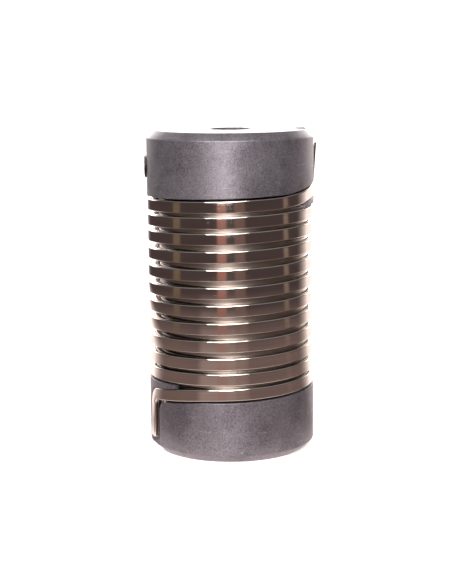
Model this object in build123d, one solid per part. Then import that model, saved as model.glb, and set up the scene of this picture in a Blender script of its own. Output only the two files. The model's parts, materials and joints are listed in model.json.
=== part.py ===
"""Shaft coupling of two hubs joined by three nested flat-wire springs wound in alternate hands.

Millimetres and degrees, +Z up. The origin is the centre of the lower hub's end face, on the shaft axis.
An azimuth is measured from -Y (the front) towards +X. A right-handed wire's azimuth grows as it rises.
Everything above half height is the lower half turned end for end about a level axis at flip_azimuth,
apart from the lean of the outer spring's tangs.
A left-handed spring is built right-handed with its azimuths negated, and then mirrored in the YZ plane.
"""

from build123d import *
import os
from math import asin, atan, cos, degrees, pi, radians, sin, sqrt

os.makedirs("parts", exist_ok=True)

# Overall sizes
overall_length = 50.0
hub_diameter = 26.0
bore_diameter = 6.0
rim_chamfer = 1.15
bore_chamfer = 0.35
flip_azimuth = 11.0

# Flat wire and the springs wound from it
wire_width = 1.85
wire_thickness = 0.75
spring_inset = 0.05
layer_gap = 0.10
end_pitch = 2.36
end_turns = 2.0
working_gap = 0.88

# Each wire's end: a steeper run into the hub, a bend, and a straight tang along the axis
tang_setback = 2.1
tang_length = 5.3
bend_radius = 1.85
lead_pitch = 10.5
lead_sweep = 45.0
lower_tang_lean = 1.5
upper_tang_lean = 4.0

# Hub details
slot_azimuth = -68.8
slot_width = 3.6
slot_side_clearance = 0.04
seat_gap = 0.30
channel_clearance = 0.08
wedge_sweep = 23.3
corner_radius = 1.6
corner_rise = 0.2
spigot_height = 14.0
spigot_chamfer = 0.5
spigot_gap = 0.10

# Set screws, M4 by 10, two in each hub
screw_diameter = 3.9
screw_length = 10.0
screw_thread_clearance = 0.05
screw_height = 5.65
screw_azimuths = {"a": 112.0, "b": 202.0}
screw_tip_gap = 0.30
socket_across_flats = 2.0
socket_depth = 2.0
screw_point_chamfer = 0.8
screw_end_chamfer = 0.25

# How far one cut or join runs past another, and how much slimmer a wire's end is than the wire it joins
PAST = 0.5
TALL = 6.0
WIRE_END_TRIM = 0.01

hub_radius = hub_diameter / 2
mid_height = overall_length / 2
layer_pitch = wire_thickness + layer_gap
outer_spring_radius = hub_radius - spring_inset
inner_bore_of_springs = outer_spring_radius - 2 * layer_pitch - wire_thickness
spigot_radius = inner_bore_of_springs - spigot_gap
pocket_radius = outer_spring_radius - layer_pitch


def at_azimuth(shape, azimuth):
    """Turn a shape built along +X so that it points along the given azimuth."""
    return Rot(0, 0, azimuth - 90) * shape


def flip(shape):
    """Turn a shape end for end, from the lower half to the upper."""
    direction = (sin(radians(flip_azimuth)), -cos(radians(flip_azimuth)), 0)
    return shape.rotate(Axis((0, 0, mid_height), direction), 180)


def mirrored(shape):
    return mirror(shape, about=Plane.YZ)


class WirePath:
    """One spring's centre line from its lower tang up to half height, built right-handed."""

    def __init__(self, layer, hand):
        self.hand = hand
        self.outer = outer_spring_radius - layer * layer_pitch
        self.inner = self.outer - wire_thickness
        self.middle = (self.outer + self.inner) / 2
        slope = atan(lead_pitch / (2 * pi * self.middle))
        side = slot_width / 2 - slot_side_clearance - wire_width / 2
        self.tang_azimuth = hand * slot_azimuth - degrees(asin(side / self.middle))
        self.bend_reach = bend_radius * (1 - sin(slope))
        self.bend_drop = bend_radius * cos(slope)
        self.bend_azimuth = self.tang_azimuth + degrees(self.bend_reach / self.middle)
        self.bend_height = tang_setback + tang_length + self.bend_drop
        self.lead_azimuth = self.bend_azimuth + lead_sweep
        self.lead_height = self.bend_height + lead_pitch * lead_sweep / 360
        self.end_azimuth = self.lead_azimuth + 360 * end_turns
        self.end_height = self.lead_height + end_pitch * end_turns
        # The number of working turns brings the wire to the flip axis at half height, on either side of it.
        rise = mid_height - self.end_height
        to_axis = ((hand * flip_azimuth - self.end_azimuth) / 360) % 0.5
        wanted = rise / (wire_width + working_gap)
        self.working_turns = to_axis + max(0, round((wanted - to_axis) * 2)) / 2
        self.working_pitch = rise / self.working_turns

    def runs(self):
        """The helical runs as (azimuth, height, pitch, turns), from the bend upwards."""
        return [
            (self.bend_azimuth, self.bend_height, lead_pitch, lead_sweep / 360),
            (self.lead_azimuth, self.lead_height, end_pitch, end_turns),
            (self.end_azimuth, self.end_height, self.working_pitch, self.working_turns),
        ]


def band(path, run, low, high, inner, outer):
    """A band along one helical run: low to high about its centre line, inner to outer in radius."""
    azimuth, height, pitch, turns = run
    line = Helix(pitch, pitch * turns, path.middle)
    corners = [(inner, low), (outer, low), (outer, high), (inner, high)]
    section = Face(Wire.make_polygon([Vector(x, 0, z) for x, z in corners]))
    swept = Solid.sweep(section, line.edge(), is_frenet=True)
    return at_azimuth(Pos(0, 0, height) * swept, azimuth)


def radial_prism(sketch, azimuth, inner, outer):
    """Push a sketch, seen from outside with x along +azimuth, through the wall from inner to outer."""
    plane = Plane(origin=(inner, 0, 0), x_dir=(0, 1, 0), z_dir=(1, 0, 0))
    return at_azimuth(extrude(plane * sketch, outer - inner), azimuth)


def tube(inner, outer, bottom, top):
    ring = Circle(outer) - Circle(inner)
    return Pos(0, 0, bottom) * extrude(ring, top - bottom)


def bend_outline(path, width, tail):
    """The bend and the tang as a flat outline about the tang's azimuth, with a tail into the lead."""
    slope = atan(lead_pitch / (2 * pi * path.middle))
    start = Vector(path.bend_reach, path.bend_height)
    bottom = Vector(0, path.bend_height - path.bend_drop)
    along = Vector(cos(slope), sin(slope))
    lead = Line(start + along * tail, start)
    arc = TangentArc(start, bottom, tangent=-along)
    tang = Line(bottom, (0, tang_setback))
    return trace(lead + arc + tang, line_width=width)


def wire_end(path, lean):
    """The bend and tang, a hair slimmer than the wire so that it joins the lead inside it."""
    outline = bend_outline(path, wire_width - 2 * WIRE_END_TRIM, PAST)
    prism = radial_prism(outline, path.tang_azimuth, path.inner - PAST, path.outer + PAST)
    inner, outer = path.inner + WIRE_END_TRIM, path.outer - WIRE_END_TRIM
    end = prism & tube(inner, outer, 0, path.bend_height + TALL)
    if path.outer < outer_spring_radius:
        return end
    return end.rotate(lean_axis(path), lean)


def lean_axis(path):
    """The level line through the bend about which the outer spring's tangs lean outwards."""
    a = radians(path.tang_azimuth)
    return Axis((path.middle * sin(a), -path.middle * cos(a), path.bend_height), (-cos(a), -sin(a), 0))


def half_spring(path, lean):
    """One spring from its tang up to half height."""
    half = wire_end(path, lean)
    for run in path.runs():
        half += band(path, run, -wire_width / 2, wire_width / 2, path.inner, path.outer)
    return mirrored(half) if path.hand < 0 else half


def spring(layer, hand):
    """One flat-wire spring from tang to tang."""
    path = WirePath(layer, hand)
    return half_spring(path, lower_tang_lean) + flip(half_spring(path, upper_tang_lean))


def shelf_height(path):
    """The pocket's floor, just under the lowest point of the springs' leads."""
    return path.bend_height - wire_width / 2 - seat_gap


def hub_blank(path, wedge_height):
    """The turned shape: outer wall, pocket for the two inner springs, spigot and bore."""
    shelf = shelf_height(path)
    bore = bore_diameter / 2
    outline = Polyline(
        (bore + bore_chamfer, 0),
        (hub_radius - rim_chamfer, 0),
        (hub_radius, rim_chamfer),
        (hub_radius, wedge_height),
        (pocket_radius, wedge_height),
        (pocket_radius, shelf),
        (spigot_radius, shelf),
        (spigot_radius, spigot_height - spigot_chamfer),
        (spigot_radius - spigot_chamfer, spigot_height),
        (bore + bore_chamfer, spigot_height),
        (bore, spigot_height - bore_chamfer),
        (bore, bore_chamfer),
        close=True,
    )
    return revolve(Plane.XZ * make_face(outline), Axis.Z)


def seat_cut(path):
    """Clears the wall above the last coil's seat, all round from the wedge's tip to one turn further on."""
    low, high = -wire_width / 2 - seat_gap, TALL
    inner, outer = pocket_radius - PAST, hub_radius + PAST
    clear_above = wire_width / 2 + channel_clearance
    lead_turns, wedge_turns = lead_sweep / 360, wedge_sweep / 360
    start = (path.bend_azimuth, path.bend_height, lead_pitch, lead_turns)
    tall = (
        path.bend_azimuth + wedge_sweep,
        path.bend_height + lead_pitch * wedge_turns,
        lead_pitch,
        lead_turns - wedge_turns,
    )
    coil = (path.lead_azimuth, path.lead_height, end_pitch, 1 - (lead_turns - wedge_turns))
    cut = band(path, start, low, clear_above, inner, outer)
    cut += band(path, tall, low, high, inner, outer)
    return cut + band(path, coil, low, high, inner, outer)


def bend_cut(path):
    """The channel in the outer wall for the bend, and the slot's rounded corner beneath the wire."""
    channel = bend_outline(path, wire_width + 2 * channel_clearance, PAST)
    wall = slot_width / 2 + path.middle * radians(slot_azimuth - path.tang_azimuth)
    seat = shelf_height(path) + corner_rise
    size = corner_radius + PAST
    corner = Pos(wall + corner_radius - size / 2, seat + PAST - size / 2) * Rectangle(size, size)
    corner -= Pos(wall + corner_radius, seat - corner_radius) * Circle(corner_radius)
    low, high = slot_top() - corner_rise, path.bend_height - wire_width / 2 + corner_rise
    throat = Pos(wall / 2, (low + high) / 2) * Rectangle(wall + 2 * corner_rise, high - low)
    inner, outer = pocket_radius - PAST, hub_radius + PAST
    return radial_prism(channel + corner + throat, path.tang_azimuth, inner, outer)


def slot_top():
    return tang_setback + tang_length


def tang_slot(path):
    """The slot for the tangs, open at the end face and into the pocket, as deep as the inner spring."""
    floor = sqrt(inner_bore_of_springs**2 - (slot_width / 2) ** 2) - spigot_gap
    depth = hub_radius + PAST - floor
    mouth_height = shelf_height(path) + PAST
    slot = Pos(floor + depth / 2, 0, (slot_top() - PAST) / 2) * Box(depth, slot_width, slot_top() + PAST)
    mouth = Pos(floor + depth / 2, 0, mouth_height / 2) * Box(depth, slot_width, mouth_height)
    mouth &= Cylinder(pocket_radius, 2 * mouth_height)
    return at_azimuth(slot + mouth, slot_azimuth)


def screw_hole(azimuth):
    hole = Plane.YZ * Circle(screw_diameter / 2 + screw_thread_clearance)
    return at_azimuth(Pos(0, 0, screw_height) * extrude(hole, hub_radius + PAST), azimuth)


def hub():
    path = WirePath(0, 1)
    wedge_turns = 1 - (lead_sweep - wedge_sweep) / 360
    tip = path.lead_height + end_pitch * wedge_turns - wire_width / 2 - seat_gap
    body = hub_blank(path, tip + PAST)
    body -= seat_cut(path)
    body -= bend_cut(path)
    body -= tang_slot(path)
    for azimuth in screw_azimuths.values():
        body -= screw_hole(azimuth)
    return body


def grub_screw(azimuth):
    """A socket set screw along +X with its tip just clear of the shaft, turned to its azimuth."""
    tip = bore_diameter / 2 + screw_tip_gap
    body = Plane.YZ * Circle(screw_diameter / 2)
    screw = Pos(tip, 0, 0) * extrude(body, screw_length)
    screw = chamfer(screw.edges().group_by(Axis.X)[0], screw_point_chamfer)
    screw = chamfer(screw.edges().group_by(Axis.X)[-1], screw_end_chamfer)
    socket = Plane.YZ * RegularPolygon(socket_across_flats / 2, 6, major_radius=False)
    screw -= Pos(tip + screw_length - socket_depth, 0, 0) * extrude(socket, socket_depth)
    return at_azimuth(Pos(0, 0, screw_height) * screw, azimuth)


def write(name, shape):
    solids = shape.solids()
    export_step(solids[0] if len(solids) == 1 else shape, f"parts/{name}.step")
    print(name, len(solids), "solid,", round(shape.volume, 2), "mm3, valid", shape.is_valid)


lower_hub = hub()
write("lower_hub", lower_hub)
write("upper_hub", flip(lower_hub))
write("outer_spring", spring(0, 1))
write("middle_spring", spring(1, -1))
write("inner_spring", spring(2, 1))
for letter, azimuth in screw_azimuths.items():
    screw = grub_screw(azimuth)
    write(f"lower_grub_screw_{letter}", screw)
    write(f"upper_grub_screw_{letter}", flip(screw))
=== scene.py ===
"""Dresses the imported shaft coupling: wound flat-wire springs, tumbled hubs and threaded set screws.

Every length is in metres. An azimuth is measured from -Y (the front) towards +X, and a wire whose azimuth
grows as it rises is right-handed. A left-handed spring is wound right-handed and then mirrored.
"""

import json
from math import asin, atan, cos, degrees, pi, radians, sin, tan, tau

import bmesh
import bpy
import numpy as np
from mathutils import Matrix, Vector


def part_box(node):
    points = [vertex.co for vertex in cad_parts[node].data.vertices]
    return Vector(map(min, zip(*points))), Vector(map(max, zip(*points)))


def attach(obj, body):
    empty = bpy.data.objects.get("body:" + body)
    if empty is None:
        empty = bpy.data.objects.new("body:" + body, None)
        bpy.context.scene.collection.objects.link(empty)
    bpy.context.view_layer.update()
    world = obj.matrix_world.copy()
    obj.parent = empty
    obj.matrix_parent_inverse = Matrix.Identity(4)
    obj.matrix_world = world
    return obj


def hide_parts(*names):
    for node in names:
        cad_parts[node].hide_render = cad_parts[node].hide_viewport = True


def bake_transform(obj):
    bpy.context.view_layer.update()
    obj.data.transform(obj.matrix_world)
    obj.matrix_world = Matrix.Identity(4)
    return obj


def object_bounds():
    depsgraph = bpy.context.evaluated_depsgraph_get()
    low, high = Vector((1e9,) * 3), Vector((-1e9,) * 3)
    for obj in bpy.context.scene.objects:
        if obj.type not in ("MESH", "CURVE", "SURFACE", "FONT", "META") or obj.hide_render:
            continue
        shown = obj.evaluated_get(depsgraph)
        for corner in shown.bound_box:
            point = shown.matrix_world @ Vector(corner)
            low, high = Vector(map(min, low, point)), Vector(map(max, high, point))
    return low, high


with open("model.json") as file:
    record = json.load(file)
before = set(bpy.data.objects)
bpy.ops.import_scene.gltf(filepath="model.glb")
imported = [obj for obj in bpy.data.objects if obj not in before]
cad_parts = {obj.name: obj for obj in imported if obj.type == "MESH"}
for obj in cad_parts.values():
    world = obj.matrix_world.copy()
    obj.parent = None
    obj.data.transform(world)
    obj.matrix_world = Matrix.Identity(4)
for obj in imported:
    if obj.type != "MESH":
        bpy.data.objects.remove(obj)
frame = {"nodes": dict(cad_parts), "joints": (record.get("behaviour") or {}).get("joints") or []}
CAD_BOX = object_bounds()

bl_info = {
    "name": "Wound Spring Coupling",
    "version": (1, 0, 0),
    "blender": (4, 5, 0),
    "location": "View3D > Sidebar > Coupling",
    "description": "Makes the springs, hubs and set screws of a shaft coupling, and their stage",
    "category": "Object",
}

MM = 0.001


def length_property(name, description, millimetres):
    """A size that a user may change, given in millimetres."""
    return bpy.props.FloatProperty(
        name=name, description=description, default=millimetres * MM, unit="LENGTH", precision=5
    )


def angle_property(name, description, value):
    """An angle that a user may change, given in degrees."""
    return bpy.props.FloatProperty(
        name=name, description=description, default=radians(value), subtype="ANGLE", unit="ROTATION"
    )


def number_property(name, description, value):
    return bpy.props.FloatProperty(name=name, description=description, default=value)


def colour_property(name, description, value):
    return bpy.props.FloatVectorProperty(
        name=name, description=description, default=value, size=3, subtype="COLOR", min=0, max=1
    )


class SpringSettings(bpy.types.PropertyGroup):
    wire_width: length_property("Wire width", "Width of the flat wire, along the axis", 1.85)
    edge_radius: length_property("Edge radius", "Rounding of the flat wire's four long edges", 0.20)
    end_radius: length_property("End radius", "Rounding of a tang's cut end", 0.12)
    bend_radius: length_property("Bend radius", "Radius of the bend from coil to tang, at mid wire", 1.85)
    tang_setback: length_property("Tang setback", "From the hub's end face to the tang's end", 2.1)
    tang_length: length_property("Tang length", "Straight part of the tang", 5.3)
    lead_pitch: length_property("Lead pitch", "Pitch of the steep run next to the bend", 10.5)
    end_pitch: length_property("End pitch", "Pitch of the close turns at each end", 2.36)
    end_turns: number_property("End turns", "Number of close turns at each end", 2.0)
    working_gap: length_property("Working gap", "Gap aimed at between the working turns", 0.88)
    slot_width: length_property("Slot width", "Width of the hub's slot for the tangs", 3.6)
    side_clearance: length_property("Side clearance", "Between a tang and the slot's side", 0.04)
    lead_sweep: angle_property("Lead sweep", "Angle that the steep run turns through", 45.0)
    slot_azimuth: angle_property("Slot azimuth", "Where the lower hub's tang slot is", -68.8)
    flip_azimuth: angle_property("Flip azimuth", "The axis that turns one half into the other", 11.0)
    lower_lean: angle_property("Lower lean", "How far the outer spring's lower tang leans outwards", 1.5)
    upper_lean: angle_property("Upper lean", "How far the outer spring's upper tang leans outwards", 4.0)
    colour: colour_property("Steel colour", "The wire's bright nickel-grey", (0.62, 0.56, 0.51))
    # Darker than the outer wire's colour: painted shade for the inner wires, seen only in the gaps
    # between the outer coils
    shaded_inner_colour: colour_property("Inner colour", "The inner wires, darkened as painted shade", (0.33, 0.275, 0.24))
    roughness: number_property("Steel roughness", "How blurred the wire's reflections are", 0.08)


class HubSettings(bpy.types.PropertyGroup):
    edge_break: length_property("Edge break", "Rounding left on the hub's edges by tumbling", 0.10)
    colour: colour_property("Hub colour", "The matte grey of the tumbled metal", (0.170, 0.150, 0.165))
    dark_colour: colour_property("Stain colour", "The darker grey of its stains", (0.080, 0.068, 0.078))
    roughness: number_property("Hub roughness", "How matte the tumbled metal is", 0.42)


class ScrewSettings(bpy.types.PropertyGroup):
    diameter: length_property("Screw diameter", "Over the thread's crests", 3.9)
    length: length_property("Screw length", "From the point to the socket's end", 10.0)
    thread_pitch: length_property("Thread pitch", "Distance from crest to crest", 0.7)
    thread_depth: length_property("Thread depth", "From crest to root", 0.38)
    point_chamfer: length_property("Point chamfer", "Chamfer at the shaft end", 0.8)
    end_chamfer: length_property("End chamfer", "Chamfer at the socket end", 0.25)
    socket_across_flats: length_property("Socket across flats", "Size of the hexagon socket", 2.0)
    socket_depth: length_property("Socket depth", "Depth of the hexagon socket", 2.0)
    cup_depth: length_property("Cup depth", "Hollow in the shaft end", 0.45)
    cup_radius: length_property("Cup radius", "Radius of the cutter for the hollow", 0.9)
    colour: colour_property("Screw colour", "The darkened steel of the screws", (0.16, 0.145, 0.14))


class StageSettings(bpy.types.PropertyGroup):
    floor_colour: colour_property("Floor colour", "The pale floor", (0.93, 0.93, 0.93))
    camera_distance: length_property("Camera distance", "In front of the coupling's axis", 218.6)
    camera_height: length_property("Camera height", "Above the floor", 62.3)
    camera_tilt: angle_property("Camera tilt", "Downwards", 9.86)
    camera_turn: angle_property("Camera turn", "To the left", 0.212)
    camera_roll: angle_property("Camera roll", "Clockwise", 0.476)
    focal_length: number_property("Focal length", "In millimetres, on a 36 mm sensor", 86.5)
    key_power: number_property("Key light", "Power of the softbox above the front, in watts", 2.8)
    sheen_power: number_property("Sheen light", "Power of the small softbox by the camera, in watts", 1.0)
    floor_glow: number_property("Floor glow", "Light that comes up through the pale floor", 0.4)
    room_strength: number_property("Room light", "Strength of the light all round", 1.0)
    mirror_strength: number_property("Mirrored light", "Strength of what the metal mirrors", 1.0)


# Shader arithmetic


class Level:
    """A shader socket that can stand in a Python expression."""

    def __init__(self, finish, socket):
        self.finish = finish
        self.socket = socket

    def maths(self, operation, *values):
        inputs = dict(enumerate(values))
        return self.finish.node("ShaderNodeMath", {"operation": operation}, inputs)

    def __add__(self, other):
        return self.maths("ADD", self, other)

    __radd__ = __add__

    def __sub__(self, other):
        return self.maths("SUBTRACT", self, other)

    def __rsub__(self, other):
        return self.maths("SUBTRACT", other, self)

    def __mul__(self, other):
        return self.maths("MULTIPLY", self, other)

    __rmul__ = __mul__


def set_stops(ramp, stops):
    """Gives a ramp its stops, in rising order, in place of the two it comes with."""
    ramp.elements.remove(ramp.elements[1])
    for k, (position, colour) in enumerate(stops):
        stop = ramp.elements[0] if k == 0 else ramp.elements.new(position)
        stop.position = position
        stop.color = (*colour, 1.0)


class Finish:
    """The nodes of one material or of the studio's surroundings, with a single way of adding one."""

    def __init__(self, owner):
        owner.use_nodes = True
        self.owner = owner
        self.tree = owner.node_tree
        self.tree.nodes.clear()

    def node(self, kind, settings=None, inputs=None, output=0):
        """Adds a node, sets it up, then gives its sockets their values or links."""
        made = self.tree.nodes.new(kind)
        for key, value in (settings or {}).items():
            if key == "stops":
                set_stops(made.color_ramp, value)
            else:
                setattr(made, key, value)
        for key, value in (inputs or {}).items():
            if isinstance(value, Level):
                self.tree.links.new(value.socket, made.inputs[key])
            else:
                made.inputs[key].default_value = value
        return Level(self, made.outputs[output]) if made.outputs else None

    def place(self, scale=(1.0, 1.0, 1.0)):
        """Where a point is on the piece, in millimetres, stretched by scale."""
        spot = self.node("ShaderNodeTexCoord", output="Object")
        return self.stretched(spot, [s / MM for s in scale])

    def stretched(self, spot, scale):
        return self.node("ShaderNodeVectorMath", {"operation": "MULTIPLY"}, {0: spot, 1: scale})

    def noise(self, spot, scale, detail=3.0, roughness=0.55):
        inputs = {"Vector": spot, "Scale": scale, "Detail": detail, "Roughness": roughness}
        return self.node("ShaderNodeTexNoise", {}, inputs)

    def band(self, value, low, high, start=0.0, end=1.0):
        """A value spread from low..high to start..end, and held there beyond."""
        inputs = {"Value": value, "From Min": low, "From Max": high, "To Min": start, "To Max": end}
        return self.node("ShaderNodeMapRange", {"clamp": True}, inputs)

    def mix(self, share, first, second):
        inputs = {0: share, 6: self.rgba(first), 7: self.rgba(second)}
        return self.node("ShaderNodeMix", {"data_type": "RGBA"}, inputs, 2)

    def rgba(self, colour):
        return colour if isinstance(colour, Level) else (*colour, 1.0)

    def bump(self, height, distance, strength=1.0, normal=None):
        inputs = {"Height": height, "Distance": distance, "Strength": strength}
        if normal is not None:
            inputs["Normal"] = normal
        return self.node("ShaderNodeBump", {}, inputs)

    def metal(self, **sockets):
        """Ends the material in one shader. Underscores in a name stand for spaces."""
        inputs = {key.replace("_", " "): value for key, value in sockets.items()}
        shader = self.node("ShaderNodeBsdfPrincipled", {}, inputs)
        self.node("ShaderNodeOutputMaterial", {}, {"Surface": shader})
        return self.owner


def hub_finish(settings):
    """Tumbled hub metal: fine grain, soft stains, rubbed-bright specks and a few faint scratches."""
    finish = Finish(bpy.data.materials.new("tumbled_hub_metal"))
    spot = finish.place()
    cloud = finish.noise(spot, 0.16, 4.0, 0.6)
    grain = finish.noise(spot, 4.2, 4.0, 0.75)
    speck = finish.noise(spot, 1.5, 2.0, 0.5)
    streak = finish.noise(finish.place((0.5, 0.5, 9.0)), 0.35, 2.0, 0.5)
    stain = finish.band(cloud, 0.47, 0.66, 0.0, 0.65)
    colour = finish.mix(stain, tuple(settings.colour), tuple(settings.dark_colour))
    colour = finish.mix(finish.band(grain, 0.48, 0.70, 0.0, 0.40), colour, (0.36, 0.33, 0.36))
    colour = finish.mix(finish.band(grain, 0.48, 0.32, 0.0, 0.60), colour, (0.045, 0.038, 0.043))
    colour = finish.mix(finish.band(speck, 0.68, 0.78, 0.0, 0.30), colour, (0.46, 0.44, 0.46))
    scratch = finish.band(streak, 0.665, 0.70, 0.0, 1.0)
    colour = finish.mix(scratch * 0.14, colour, (0.50, 0.48, 0.50))
    rough = finish.band(grain, 0.3, 0.7, settings.roughness - 0.07, settings.roughness + 0.09)
    pits = finish.bump(grain + speck * 0.5, 0.020 * MM, 0.75)
    dents = finish.bump(cloud, 0.10 * MM, 0.35, pits)
    return finish.metal(
        Base_Color=colour, Metallic=0.75, Roughness=rough - scratch * 0.1, Normal=dents
    )


def wire_finish(name, settings, base, dulled):
    """Drawn flat wire: fine lines along its length, a warm cast and small handling marks."""
    finish = Finish(bpy.data.materials.new(name))
    along = finish.node("ShaderNodeAttribute", {"attribute_name": "unwound"}, output="Vector")
    lines = finish.noise(finish.stretched(along, (0.06, 9.0, 9.0)), 1.0, 3.0, 0.6)
    drift = finish.noise(finish.stretched(along, (0.10, 0.6, 0.6)), 1.0, 2.0, 0.5)
    spots = finish.noise(along, 1.1, 3.0, 0.6)
    pale = [min(1.0, c * 1.18) for c in base]
    dark = [c * 0.62 for c in base]
    colour = finish.mix(finish.band(drift, 0.35, 0.68, 0.0, 0.6), base, pale)
    colour = finish.mix(finish.band(lines, 0.50, 0.75, 0.0, 0.35), colour, dark)
    colour = finish.mix(finish.band(spots, 0.64, 0.74, 0.0, 0.25), colour, dark)
    middle = settings.roughness + dulled
    rough = finish.band(lines, 0.3, 0.7, middle - 0.03, middle + 0.05)
    rough = rough + finish.band(spots, 0.60, 0.75, 0.0, 0.12)
    drawn = finish.bump(lines, 0.003 * MM, 0.4)
    waves = finish.bump(drift, 0.012 * MM, 0.3, drawn)
    return finish.metal(Base_Color=colour, Metallic=1.0, Roughness=rough, Normal=waves)


def screw_finish(settings):
    """Blackened screw steel, rubbed brighter here and there, with fine turning marks."""
    finish = Finish(bpy.data.materials.new("blackened_screw_steel"))
    spot = finish.place()
    cloud = finish.noise(spot, 0.9, 3.0, 0.6)
    grain = finish.noise(spot, 7.0, 3.0, 0.6)
    rubbed = finish.band(cloud, 0.52, 0.70, 0.0, 0.6)
    colour = finish.mix(rubbed, tuple(settings.colour), (0.42, 0.38, 0.35))
    colour = finish.mix(finish.band(grain, 0.5, 0.75, 0.0, 0.35), colour, (0.07, 0.06, 0.06))
    rough = finish.band(grain, 0.3, 0.7, 0.28, 0.46)
    normal = finish.bump(grain, 0.006 * MM, 0.6)
    return finish.metal(Base_Color=colour, Metallic=1.0, Roughness=rough, Normal=normal)


# Modelling tools


def deselect():
    bpy.ops.object.select_all(action="DESELECT")


def activate(piece):
    deselect()
    piece.select_set(True)
    bpy.context.view_layer.objects.active = piece


def new_primitive(name, add, **sizes):
    """Adds a primitive with nothing else selected, and names it."""
    deselect()
    add(**sizes)
    piece = bpy.context.object
    piece.name = piece.data.name = name
    return piece


def apply_place(piece):
    activate(piece)
    bpy.ops.object.transform_apply(location=True, rotation=True, scale=True)


def apply_modifier(piece, kind, **settings):
    activate(piece)
    modifier = piece.modifiers.new(kind.title(), kind)
    for key, value in settings.items():
        setattr(modifier, key, value)
    bpy.ops.object.modifier_apply(modifier=modifier.name)


def in_edit_mode(piece, *steps):
    """Runs edit-mode steps in turn on a piece. Each step is an operator and its settings."""
    activate(piece)
    bpy.ops.object.mode_set(mode="EDIT")
    for step, settings in steps:
        step(**settings)
    bpy.ops.object.mode_set(mode="OBJECT")


def select_faces(piece, chosen):
    """Selects the faces for which chosen(face) is true, and nothing else."""
    mesh = piece.data
    in_edit_mode(
        piece,
        (bpy.ops.mesh.select_mode, {"type": "FACE"}),
        (bpy.ops.mesh.select_all, {"action": "DESELECT"}),
    )
    mesh.polygons.foreach_set("select", [chosen(face) for face in mesh.polygons])


def select_edges(piece, chosen):
    mesh = piece.data
    in_edit_mode(
        piece,
        (bpy.ops.mesh.select_mode, {"type": "EDGE"}),
        (bpy.ops.mesh.select_all, {"action": "DESELECT"}),
    )
    mesh.edges.foreach_set("select", [chosen(edge) for edge in mesh.edges])


def repeat_along(piece, axis, step, count):
    """Repeats an open length of section along an axis, joins the copies and closes both ends."""
    offset = Vector((0, 0, 0))
    offset[axis] = step
    apply_modifier(
        piece,
        "ARRAY",
        count=count,
        use_relative_offset=False,
        use_constant_offset=True,
        constant_offset_displace=offset,
        use_merge_vertices=True,
        merge_threshold=0.002 * MM,
    )
    in_edit_mode(
        piece,
        (bpy.ops.mesh.select_mode, {"type": "EDGE"}),
        (bpy.ops.mesh.select_all, {"action": "SELECT"}),
        (bpy.ops.mesh.fill_holes, {"sides": 0}),
    )


def face_outwards(piece):
    in_edit_mode(
        piece,
        (bpy.ops.mesh.select_all, {"action": "SELECT"}),
        (bpy.ops.mesh.normals_make_consistent, {"inside": False}),
    )


def shade(piece, angle=40.0):
    """Smooth shading that keeps the flats flat."""
    activate(piece)
    bpy.ops.object.shade_smooth_by_angle(angle=radians(angle))
    apply_modifier(piece, "WEIGHTED_NORMAL", keep_sharp=True, weight=80)


def points_of(piece):
    points = np.empty(len(piece.data.vertices) * 3)
    piece.data.vertices.foreach_get("co", points)
    return points.reshape(-1, 3)


def put_points(piece, points):
    piece.data.vertices.foreach_set("co", points.ravel())
    piece.data.update()


# Springs

BAR_STEP = 0.5 * MM
TANG_STEPS = 6
BEND_STEPS = 12
STEPS_PER_TURN = 128


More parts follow.
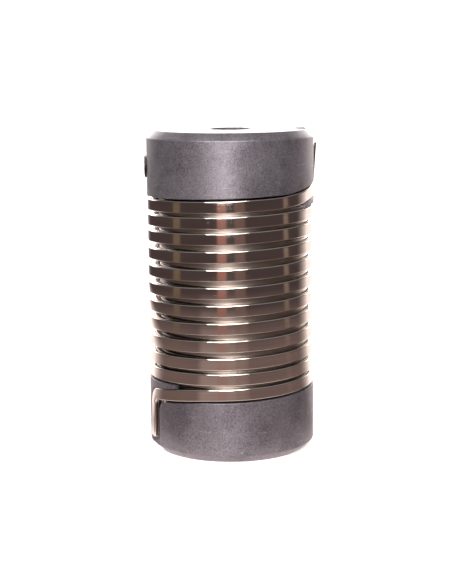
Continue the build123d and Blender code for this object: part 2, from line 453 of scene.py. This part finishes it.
class WirePath:
    """One spring's centre line from tang to tang, as stations with an azimuth, a height and a slope."""

    def __init__(self, settings, outer_radius, thickness, length, hand):
        self.hand = hand
        self.length = length
        self.middle = outer_radius - thickness / 2
        self.thickness = thickness
        self.settings = settings
        s = settings
        slope = atan(s.lead_pitch / (tau * self.middle))
        side = s.slot_width / 2 - s.side_clearance - s.wire_width / 2
        self.tang_azimuth = hand * s.slot_azimuth - asin(side / self.middle)
        self.bend_azimuth = self.tang_azimuth + s.bend_radius * (1 - sin(slope)) / self.middle
        self.bend_height = s.tang_setback + s.tang_length + s.bend_radius * cos(slope)
        self.lead_end = self.bend_azimuth + s.lead_sweep
        lead_height = self.bend_height + s.lead_pitch * s.lead_sweep / tau
        self.close_end = self.lead_end + tau * s.end_turns
        rise = length / 2 - lead_height - s.end_pitch * s.end_turns
        to_axis = ((hand * s.flip_azimuth - self.close_end) / tau) % 0.5
        wanted = rise / (s.wire_width + s.working_gap)
        turns = to_axis + round((wanted - to_axis) * 2) / 2
        self.working_pitch = rise / turns
        self.mid_azimuth = self.close_end + tau * turns
        self.stations = self.whole_line(slope)

    def pitch(self, azimuth):
        """The wire's pitch at an azimuth, changing softly from one run to the next."""
        s = self.settings
        lead = soft_step(azimuth, self.lead_end, radians(21))
        close = soft_step(azimuth, self.close_end, radians(80))
        slowed = s.lead_pitch + (s.end_pitch - s.lead_pitch) * lead
        return slowed + (self.working_pitch - s.end_pitch) * close

    def whole_line(self, slope):
        """Rows of azimuth, height and slope: tang, bend, coils, and the same again turned end for end."""
        s = self.settings
        tang_top = s.tang_setback + s.tang_length
        tang = [
            (self.tang_azimuth, s.tang_setback + s.tang_length * k / TANG_STEPS, pi / 2)
            for k in range(TANG_STEPS)
        ]
        turn = (pi / 2 - slope) / BEND_STEPS
        bend = [
            (
                self.tang_azimuth + s.bend_radius * (1 - cos(turn * k)) / self.middle,
                tang_top + s.bend_radius * sin(turn * k),
                pi / 2 - turn * k,
            )
            for k in range(BEND_STEPS)
        ]
        steps = round((self.mid_azimuth - self.bend_azimuth) / tau * STEPS_PER_TURN)
        azimuths = np.linspace(self.bend_azimuth, self.mid_azimuth, steps + 1)
        pitches = np.array([self.pitch(a) for a in azimuths])
        rises = (pitches[1:] + pitches[:-1]) / 2 * np.diff(azimuths) / tau
        heights = self.bend_height + np.concatenate([[0], np.cumsum(rises)])
        heights += (self.length / 2 - heights[-1]) * np.linspace(0, 1, len(heights)) ** 2
        coils = np.column_stack([azimuths, heights, np.arctan(pitches / (tau * self.middle))])
        half = np.vstack([tang, bend, coils])
        other = half[-2::-1] * (-1, -1, 1) + (2 * self.mid_azimuth, self.length, 0)
        return np.vstack([half, other])

    def lean(self, heights):
        """How far outwards the leaning tangs stand at each height."""
        below = np.maximum(self.bend_height - heights, 0)
        above = np.maximum(heights - (self.length - self.bend_height), 0)
        return below * tan(self.settings.lower_lean) + above * tan(self.settings.upper_lean)


def soft_step(value, middle, half_width):
    share = min(max((value - middle) / (2 * half_width) + 0.5, 0), 1)
    return share * share * (3 - 2 * share)


def straight_wire(name, settings, thickness, steps):
    """A straight length of flat wire along +X with rounded long edges."""
    place = Matrix.Translation((BAR_STEP / 2, 0, 0))
    bar = new_primitive(name, bpy.ops.mesh.primitive_cube_add, size=1)
    bar.matrix_world = place @ Matrix.Diagonal((BAR_STEP, thickness, settings.wire_width, 1))
    apply_place(bar)
    select_faces(bar, lambda face: abs(face.normal.x) > 0.5)
    in_edit_mode(bar, (bpy.ops.mesh.delete, {"type": "ONLY_FACE"}))
    points = points_of(bar)
    select_edges(bar, lambda edge: abs(np.diff(points[list(edge.vertices), 0])[0]) > BAR_STEP / 2)
    rounding = {"offset": settings.edge_radius, "segments": 3, "profile": 0.5}
    in_edit_mode(bar, (bpy.ops.mesh.bevel, rounding))
    repeat_along(bar, 0, BAR_STEP, steps)
    return bar


def wind(bar, path, stations, start):
    """Bends a straight bar round the axis, along the stations, and notes where its points were."""
    points = points_of(bar)
    ring = np.rint(points[:, 0] / BAR_STEP).astype(int)
    outwards, across = points[:, 1], points[:, 2]
    azimuth, height, slope = stations[ring].T
    height = height + across * np.cos(slope)
    azimuth = azimuth - across * np.sin(slope) / path.middle
    radius = path.middle + outwards
    if path.leans:
        radius = radius + path.lean(height)
    wound = np.column_stack(
        [path.hand * radius * np.sin(azimuth), -radius * np.cos(azimuth), height]
    )
    put_points(bar, wound)
    unwound = bar.data.attributes.new("unwound", "FLOAT_VECTOR", "POINT")
    steps = np.diff(stations[:, :2] * (path.middle, 1), axis=0)
    run = np.concatenate([[0], np.cumsum(np.hypot(*steps.T))]) + start
    rows = np.column_stack([run[ring], outwards, across]) / MM
    unwound.data.foreach_set("vector", rows.ravel())
    face_outwards(bar)
    return run[-1]


def round_end(piece, settings, height):
    """Rounds the cut end of a tang, found by its height."""
    level = 0.01 * MM
    select_faces(piece, lambda face: abs(face.center.z - height) < level and abs(face.normal.z) > 0.9)
    in_edit_mode(piece, (bpy.ops.mesh.bevel, {"offset": settings.end_radius, "segments": 2}))


# Where each spring is cut into lengths, and the zone in which a length passes from one body to the next.
CUTS = (17.5 * MM, 27.5 * MM, 33.5 * MM)
CROSSINGS = (
    ("lower", "lower_hub", "outer_spring", 11.5 * MM, 16.5 * MM),
    ("middle", "outer_spring", "middle_spring", 18.5 * MM, 26.5 * MM),
    ("upper", "middle_spring", "inner_spring", 28.5 * MM, 32.5 * MM),
    ("top", "inner_spring", "upper_hub", 34.5 * MM, 38.5 * MM),
)


def wind_spring(settings, node, outer_radius, thickness, hand, leans, material):
    """One spring in four lengths, cut at the given heights."""
    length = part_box("upper_hub")[1].z
    path = WirePath(settings, outer_radius, thickness, length, hand)
    path.leans = leans
    cuts = [0, *[int(np.argmax(path.stations[:, 1] > cut)) for cut in CUTS], len(path.stations) - 1]
    run = 0.0
    for (part, lower_body, upper_body, low, high), first, last in zip(CROSSINGS, cuts, cuts[1:]):
        stations = path.stations[first : last + 1]
        piece = straight_wire(f"{node}_{part}_length", settings, thickness, len(stations) - 1)
        run = wind(piece, path, stations, run)
        if first == 0:
            round_end(piece, settings, settings.tang_setback)
        if last == len(path.stations) - 1:
            round_end(piece, settings, length - settings.tang_setback)
        shade(piece)
        piece.data.materials.append(material)
        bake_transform(piece)
        if first == 0:
            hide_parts(node)


class COUPLING_OT_springs(bpy.types.Operator):
    """Wind the three nested flat-wire springs, each of the opposite hand to the next"""

    bl_idname = "coupling.springs"
    bl_label = "Wind Springs"

    def execute(self, context):
        settings = context.scene.coupling_springs
        middle_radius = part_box("middle_spring")[1].y
        inner_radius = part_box("inner_spring")[1].y
        layer = middle_radius - inner_radius
        thickness = layer - 0.10 * MM
        bright = wire_finish("bright_drawn_wire", settings, tuple(settings.colour), 0.0)
        # The middle and inner springs take the darker colour as painted shade for where they lie behind
        # the outer coils; only their added roughness is a real difference
        painted_shade_wire = wire_finish("inner_wire_painted_shade", settings, tuple(settings.shaded_inner_colour), 0.22)
        wind_spring(settings, "outer_spring", middle_radius + layer, thickness, 1, True, bright)
        wind_spring(settings, "middle_spring", middle_radius, thickness, -1, False, painted_shade_wire)
        wind_spring(settings, "inner_spring", inner_radius, thickness, 1, False, painted_shade_wire)
        return {"FINISHED"}


# Hubs


def merged_copy(node, name):
    """A joined-up copy of a node's loose triangles, with flat areas made whole again."""
    mesh = frame["nodes"][node].data.copy()
    piece = bpy.data.objects.new(name, mesh)
    bpy.context.scene.collection.objects.link(piece)
    mesh.materials.clear()
    in_edit_mode(
        piece,
        (bpy.ops.mesh.customdata_custom_splitnormals_clear, {}),
        (bpy.ops.mesh.select_all, {"action": "SELECT"}),
        (bpy.ops.mesh.remove_doubles, {"threshold": 0.03 * MM}),
        (bpy.ops.mesh.dissolve_limited, {"angle_limit": radians(0.4)}),
    )
    return piece


def mark_outer_edges(piece, sharpness):
    """Marks the edges that tumbling rounds: those of the outer wall, its slot and its rims."""
    grown = bmesh.new()
    grown.from_mesh(piece.data)
    weight = grown.edges.layers.float.new("bevel_weight_edge")
    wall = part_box("lower_hub")[1].x
    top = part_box("upper_hub")[1].z
    for edge in grown.edges:
        if edge.calc_face_angle() < sharpness:
            continue
        radii = [vertex.co.xy.length for vertex in edge.verts]
        heights = [min(vertex.co.z, top - vertex.co.z) for vertex in edge.verts]
        on_wall = min(radii) > wall - 0.05 * MM
        on_rim = max(heights) < 1.2 * MM and min(radii) > wall - 2.0 * MM
        if on_wall or on_rim:
            edge[weight] = 1.0
    grown.to_mesh(piece.data)
    grown.free()


class COUPLING_OT_hubs(bpy.types.Operator):
    """Make the two hubs with the edges that tumbling leaves"""

    bl_idname = "coupling.hubs"
    bl_label = "Make Hubs"

    def execute(self, context):
        settings = context.scene.coupling_hubs
        material = hub_finish(settings)
        for node in ("lower_hub", "upper_hub"):
            piece = merged_copy(node, f"{node}_tumbled")
            mark_outer_edges(piece, radians(28))
            apply_modifier(
                piece,
                "BEVEL",
                width=settings.edge_break,
                segments=3,
                limit_method="WEIGHT",
                use_clamp_overlap=False,
                loop_slide=False,
            )
            shade(piece, 35.0)
            piece.data.materials.append(material)
            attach(piece, node)
            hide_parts(node)
        return {"FINISHED"}


# Set screws

THREAD_SIDES = 48
RINGS_PER_THREAD = 8
CUP_SIDES = 32
PAST = 0.5 * MM


def cutter(name, sides, radius, bottom_radius, low, high):
    """A tapered prism along +X from low to high, for cutting."""
    piece = new_primitive(
        name,
        bpy.ops.mesh.primitive_cone_add,
        vertices=sides,
        radius1=bottom_radius,
        radius2=radius,
        depth=high - low,
        location=((low + high) / 2, 0, 0),
        rotation=(0, pi / 2, 0),
    )
    apply_place(piece)
    return piece


def cut_away(piece, tool):
    apply_modifier(piece, "BOOLEAN", object=tool, operation="DIFFERENCE", solver="EXACT")
    bpy.data.objects.remove(tool)


def threaded_rod(name, settings, length):
    """A screw's body along +X from 0 to length: a thread with a chamfer at each end."""
    step = settings.thread_pitch / RINGS_PER_THREAD
    count = round(length / step)
    rod = new_primitive(
        name,
        bpy.ops.mesh.primitive_cylinder_add,
        vertices=THREAD_SIDES,
        radius=settings.diameter / 2,
        depth=step,
        end_fill_type="NOTHING",
        location=(step / 2, 0, 0),
        rotation=(0, pi / 2, 0),
    )
    apply_place(rod)
    repeat_along(rod, 0, step, count)
    points = points_of(rod)
    along = points[:, 0] * length / (step * count)
    around = np.arctan2(points[:, 2], points[:, 1])
    phase = (along / settings.thread_pitch - around / tau) % 1
    rise = np.clip(1.3 - 2.6 * np.abs(phase - 0.5), 0, 1)
    crest = settings.diameter / 2
    radius = crest - settings.thread_depth * (1 - rise)
    radius = np.minimum(radius, crest - settings.point_chamfer + along)
    radius = np.minimum(radius, crest - settings.end_chamfer + length - along)
    put_points(rod, np.column_stack([along, radius * np.cos(around), radius * np.sin(around)]))
    face_outwards(rod)
    return rod


class COUPLING_OT_grub_screws(bpy.types.Operator):
    """Make the four set screws with threads, hexagon sockets and cup points"""

    bl_idname = "coupling.grub_screws"
    bl_label = "Make Set Screws"

    def execute(self, context):
        settings = context.scene.coupling_screws
        material = screw_finish(settings)
        for joint in frame["joints"]:
            if not joint["name"].endswith("_travel"):
                continue
            node = joint["child"]
            axis = Vector(joint["axis"])
            low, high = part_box(node)
            length = settings.length
            points = points_of(frame["nodes"][node])
            reach = (points @ np.array(axis)).max()
            screw = threaded_rod(f"{node}_threaded", settings, length)
            socket = settings.socket_across_flats / 2 / cos(pi / 6)
            floor = length - settings.socket_depth
            cut_away(screw, cutter("socket", 6, socket, socket, floor, length + PAST))
            cut_away(screw, cutter("cup", CUP_SIDES, 0.0, settings.cup_radius, -PAST, settings.cup_depth))
            raised = Matrix.Translation((0, 0, (low.z + high.z) / 2))
            turned = Matrix.Rotation(np.arctan2(axis.y, axis.x), 4, "Z")
            screw.matrix_world = raised @ turned @ Matrix.Translation((reach - length, 0, 0))
            apply_place(screw)
            shade(screw, 32.0)
            screw.data.materials.append(material)
            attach(screw, node)
            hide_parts(node)
        return {"FINISHED"}


# Stage


def softbox(name, place, target, width, height, power):
    light = bpy.data.lights.new(name, "AREA")
    light.shape = "RECTANGLE"
    light.size, light.size_y = width, height
    light.energy = power
    holder = bpy.data.objects.new(name, light)
    bpy.context.scene.collection.objects.link(holder)
    holder.location = place
    holder.rotation_euler = (Vector(target) - Vector(place)).to_track_quat("-Z", "Y").to_euler()
    holder.visible_camera = False


# Coloured cards laid round the coupling for the bright wire to mirror: middle and half width in degrees
# round from the front, then the tone. Between them the table is dim in front and white at the back.
CARDS = (
    (-78, 6, (0.22, 0.16, 0.11)),
    (-12, 6, (0.45, 0.20, 0.16)),
    (12, 7, (0.22, 0.14, 0.12)),
    (80, 4, (0.30, 0.22, 0.18)),
)
CARD_EDGE = 1.5
CARD_SHARE_NEARBY = 0.35

# A pale sheet in front, and where the table turns white at the back, in degrees round from the front.
# On the left the white starts later the further off the table is.
SHEET_MIDDLE = -11
SHEET_EDGE = (26, 34)
SHEET_SHARE = 0.85
BACK_ON_RIGHT = (100.0, 128.0)
BACK_ON_LEFT = (98.0, 130.0)
LATER_FAR_OFF = 45

# How far from the axis, in millimetres, the white round the coupling's foot ends, and where the nearby
# table becomes the far one.
FOOT_REACH = (17.0, 26.0)
FAR_REACH = (85.0, 165.0)
DIM = (0.085, 0.062, 0.062)
NEARBY = (0.22, 0.155, 0.145)
SHEET = (0.44, 0.33, 0.31)
PALE = (1.6, 1.4, 1.35)

# The room: how far back and how high its white wall and its ceiling begin and end, and their tones.
BACK_WALL = (0.55, 0.95)
CEILING = (0.25, 0.75)
ROOM_TONE = (0.09, 0.08, 0.08)
WALL_TONE = (7.0, 6.7, 6.5)
CEILING_TONE = (0.42, 0.42, 0.43)
WHITE = (1.05, 1.05, 1.05)

# Places and sizes of the two softboxes, and how far the floor reaches, in metres.
KEY_PLACE = (-0.05, -0.32, 0.30)
KEY_SIZE = (0.38, 0.30)
SHEEN_PLACE = (-0.06, -0.46, 0.10)
SHEEN_SIZE = (0.16, 0.16)
STAGE_RADIUS = 2.5


def new_material(name):
    return Finish(bpy.data.materials.new(name))


def round_from_front(finish, spot):
    """How far round from the front a direction is, in degrees, with the right positive."""
    parts = finish.node("ShaderNodeSeparateXYZ", {}, {0: spot})
    y = Level(finish, parts.socket.node.outputs["Y"])
    turn = finish.node("ShaderNodeMath", {"operation": "ARCTAN2"}, {0: parts, 1: y * -1})
    return turn * degrees(1)


def level_disc(name, drop):
    """A wide disc, just below the coupling by the drop."""
    disc = new_primitive(
        name, bpy.ops.mesh.primitive_circle_add, vertices=64, radius=STAGE_RADIUS, fill_type="NGON"
    )
    disc.location = (0, 0, CAD_BOX[0].z - drop)
    return disc


def make_floor(settings):
    """A wide pale floor that glows a little, so that it stays as white as the room behind it."""
    finish = new_material("pale_floor")
    tone = finish.band(finish.noise(finish.place(), 0.02), 0.3, 0.7, 0.0, 0.25)
    colour = finish.mix(tone, tuple(settings.floor_colour), (0.90, 0.90, 0.90))
    material = finish.metal(
        Base_Color=colour,
        Roughness=0.6,
        Emission_Color=(1.0, 1.0, 1.0, 1.0),
        Emission_Strength=settings.floor_glow,
    )
    floor = level_disc("floor", 0.02 * MM)
    floor.data.materials.append(material)
    floor.visible_glossy = False


def make_mirror_table(settings):
    """What the bright metal mirrors from the table top. It is seen by nothing else."""
    table = level_disc("table_top", 0.01 * MM)
    finish = new_material("mirrored_table_top")
    spot = finish.place()
    turn = round_from_front(finish, spot)
    beside = finish.node("ShaderNodeMath", {"operation": "ABSOLUTE"}, {0: turn - SHEET_MIDDLE})
    reach = finish.node("ShaderNodeVectorMath", {"operation": "LENGTH"}, {0: spot}, "Value")
    far = finish.band(reach, *FAR_REACH)
    colour = finish.mix(finish.band(beside, *SHEET_EDGE, SHEET_SHARE, 0.0), NEARBY, SHEET)
    colour = finish.mix(far, colour, DIM)
    for middle, half_width, tone in CARDS:
        off = finish.node("ShaderNodeMath", {"operation": "ABSOLUTE"}, {0: turn - middle})
        card = finish.band(off, half_width - CARD_EDGE, half_width + CARD_EDGE, 1.0, 0.0)
        share = finish.band(far, 0.0, 1.0, CARD_SHARE_NEARBY, 1.0)
        colour = finish.mix(card * share, colour, tone)
    back = finish.band(turn, *BACK_ON_RIGHT)
    back = back + finish.band(turn * -1 - far * LATER_FAR_OFF, *BACK_ON_LEFT)
    colour = finish.mix(back * back, colour, PALE)
    colour = finish.mix(finish.band(reach, *FOOT_REACH), PALE, colour)
    glow = finish.node("ShaderNodeEmission", {}, {"Color": colour, "Strength": settings.mirror_strength})
    finish.node("ShaderNodeOutputMaterial", {}, {"Surface": glow})
    table.data.materials.append(finish.owner)
    table.visible_camera = table.visible_diffuse = table.visible_shadow = False
    table.visible_transmission = table.visible_volume_scatter = False


def make_surroundings(settings):
    """White for the camera, and for all else a room that is dim in front and white at the back."""
    world = bpy.data.worlds.new("studio")
    bpy.context.scene.world = world
    finish = Finish(world)
    direction = finish.node("ShaderNodeTexCoord", output="Generated")
    parts = finish.node("ShaderNodeSeparateXYZ", {}, {0: direction})
    y = Level(finish, parts.socket.node.outputs["Y"])
    z = Level(finish, parts.socket.node.outputs["Z"])
    walls = finish.mix(finish.band(y, *BACK_WALL), ROOM_TONE, WALL_TONE)
    room = finish.mix(finish.band(z, *CEILING), walls, CEILING_TONE)
    seen = finish.node("ShaderNodeLightPath", output="Is Camera Ray")
    colour = finish.mix(seen, room, WHITE)
    light = finish.node("ShaderNodeBackground", {}, {"Color": colour, "Strength": settings.room_strength})
    finish.node("ShaderNodeOutputWorld", {}, {"Surface": light})


def make_camera(settings):
    camera = bpy.data.objects.new("camera", bpy.data.cameras.new("camera"))
    bpy.context.scene.collection.objects.link(camera)
    camera.data.lens = settings.focal_length
    camera.data.sensor_width = 36
    camera.data.clip_start = 0.01
    aim = Matrix.Rotation(settings.camera_turn, 4, "Z")
    aim = aim @ Matrix.Rotation(pi / 2 - settings.camera_tilt, 4, "X")
    aim = aim @ Matrix.Rotation(-settings.camera_roll, 4, "Z")
    place = (0, -settings.camera_distance, settings.camera_height)
    camera.matrix_world = Matrix.Translation(place) @ aim
    bpy.context.scene.camera = camera


class COUPLING_OT_stage(bpy.types.Operator):
    """Set up the pale floor, the soft light and the camera"""

    bl_idname = "coupling.stage"
    bl_label = "Set Stage"

    def execute(self, context):
        settings = context.scene.coupling_stage
        middle = (CAD_BOX[0] + CAD_BOX[1]) / 2
        make_floor(settings)
        make_mirror_table(settings)
        make_surroundings(settings)
        softbox("key", KEY_PLACE, middle, *KEY_SIZE, settings.key_power)
        softbox("sheen", SHEEN_PLACE, middle, *SHEEN_SIZE, settings.sheen_power)
        make_camera(settings)
        context.scene.view_settings.view_transform = "Standard"
        return {"FINISHED"}


class COUPLING_PT_panel(bpy.types.Panel):
    """Lists the pieces in the order they are made"""

    bl_label = "Coupling"
    bl_idname = "COUPLING_PT_panel"
    bl_space_type = "VIEW_3D"
    bl_region_type = "UI"
    bl_category = "Coupling"

    def draw(self, context):
        for group, operator in STEPS:
            box = self.layout.box()
            settings = getattr(context.scene, group)
            for name in settings.bl_rna.properties.keys():
                if name not in ("rna_type", "name"):
                    box.prop(settings, name)
            box.operator(operator)


GROUPS = {
    "coupling_hubs": HubSettings,
    "coupling_springs": SpringSettings,
    "coupling_screws": ScrewSettings,
    "coupling_stage": StageSettings,
}
STEPS = (
    ("coupling_hubs", "coupling.hubs"),
    ("coupling_springs", "coupling.springs"),
    ("coupling_screws", "coupling.grub_screws"),
    ("coupling_stage", "coupling.stage"),
)
CLASSES = (
    *GROUPS.values(),
    COUPLING_OT_hubs,
    COUPLING_OT_springs,
    COUPLING_OT_grub_screws,
    COUPLING_OT_stage,
    COUPLING_PT_panel,
)


def register():
    for cls in CLASSES:
        bpy.utils.register_class(cls)
    for name, group in GROUPS.items():
        setattr(bpy.types.Scene, name, bpy.props.PointerProperty(type=group))


def unregister():
    for name in GROUPS:
        delattr(bpy.types.Scene, name)
    for cls in reversed(CLASSES):
        bpy.utils.unregister_class(cls)


def main():
    register()
    bpy.ops.coupling.hubs()
    bpy.ops.coupling.springs()
    bpy.ops.coupling.grub_screws()
    bpy.ops.coupling.stage()


if __name__ == "__main__":
    main()
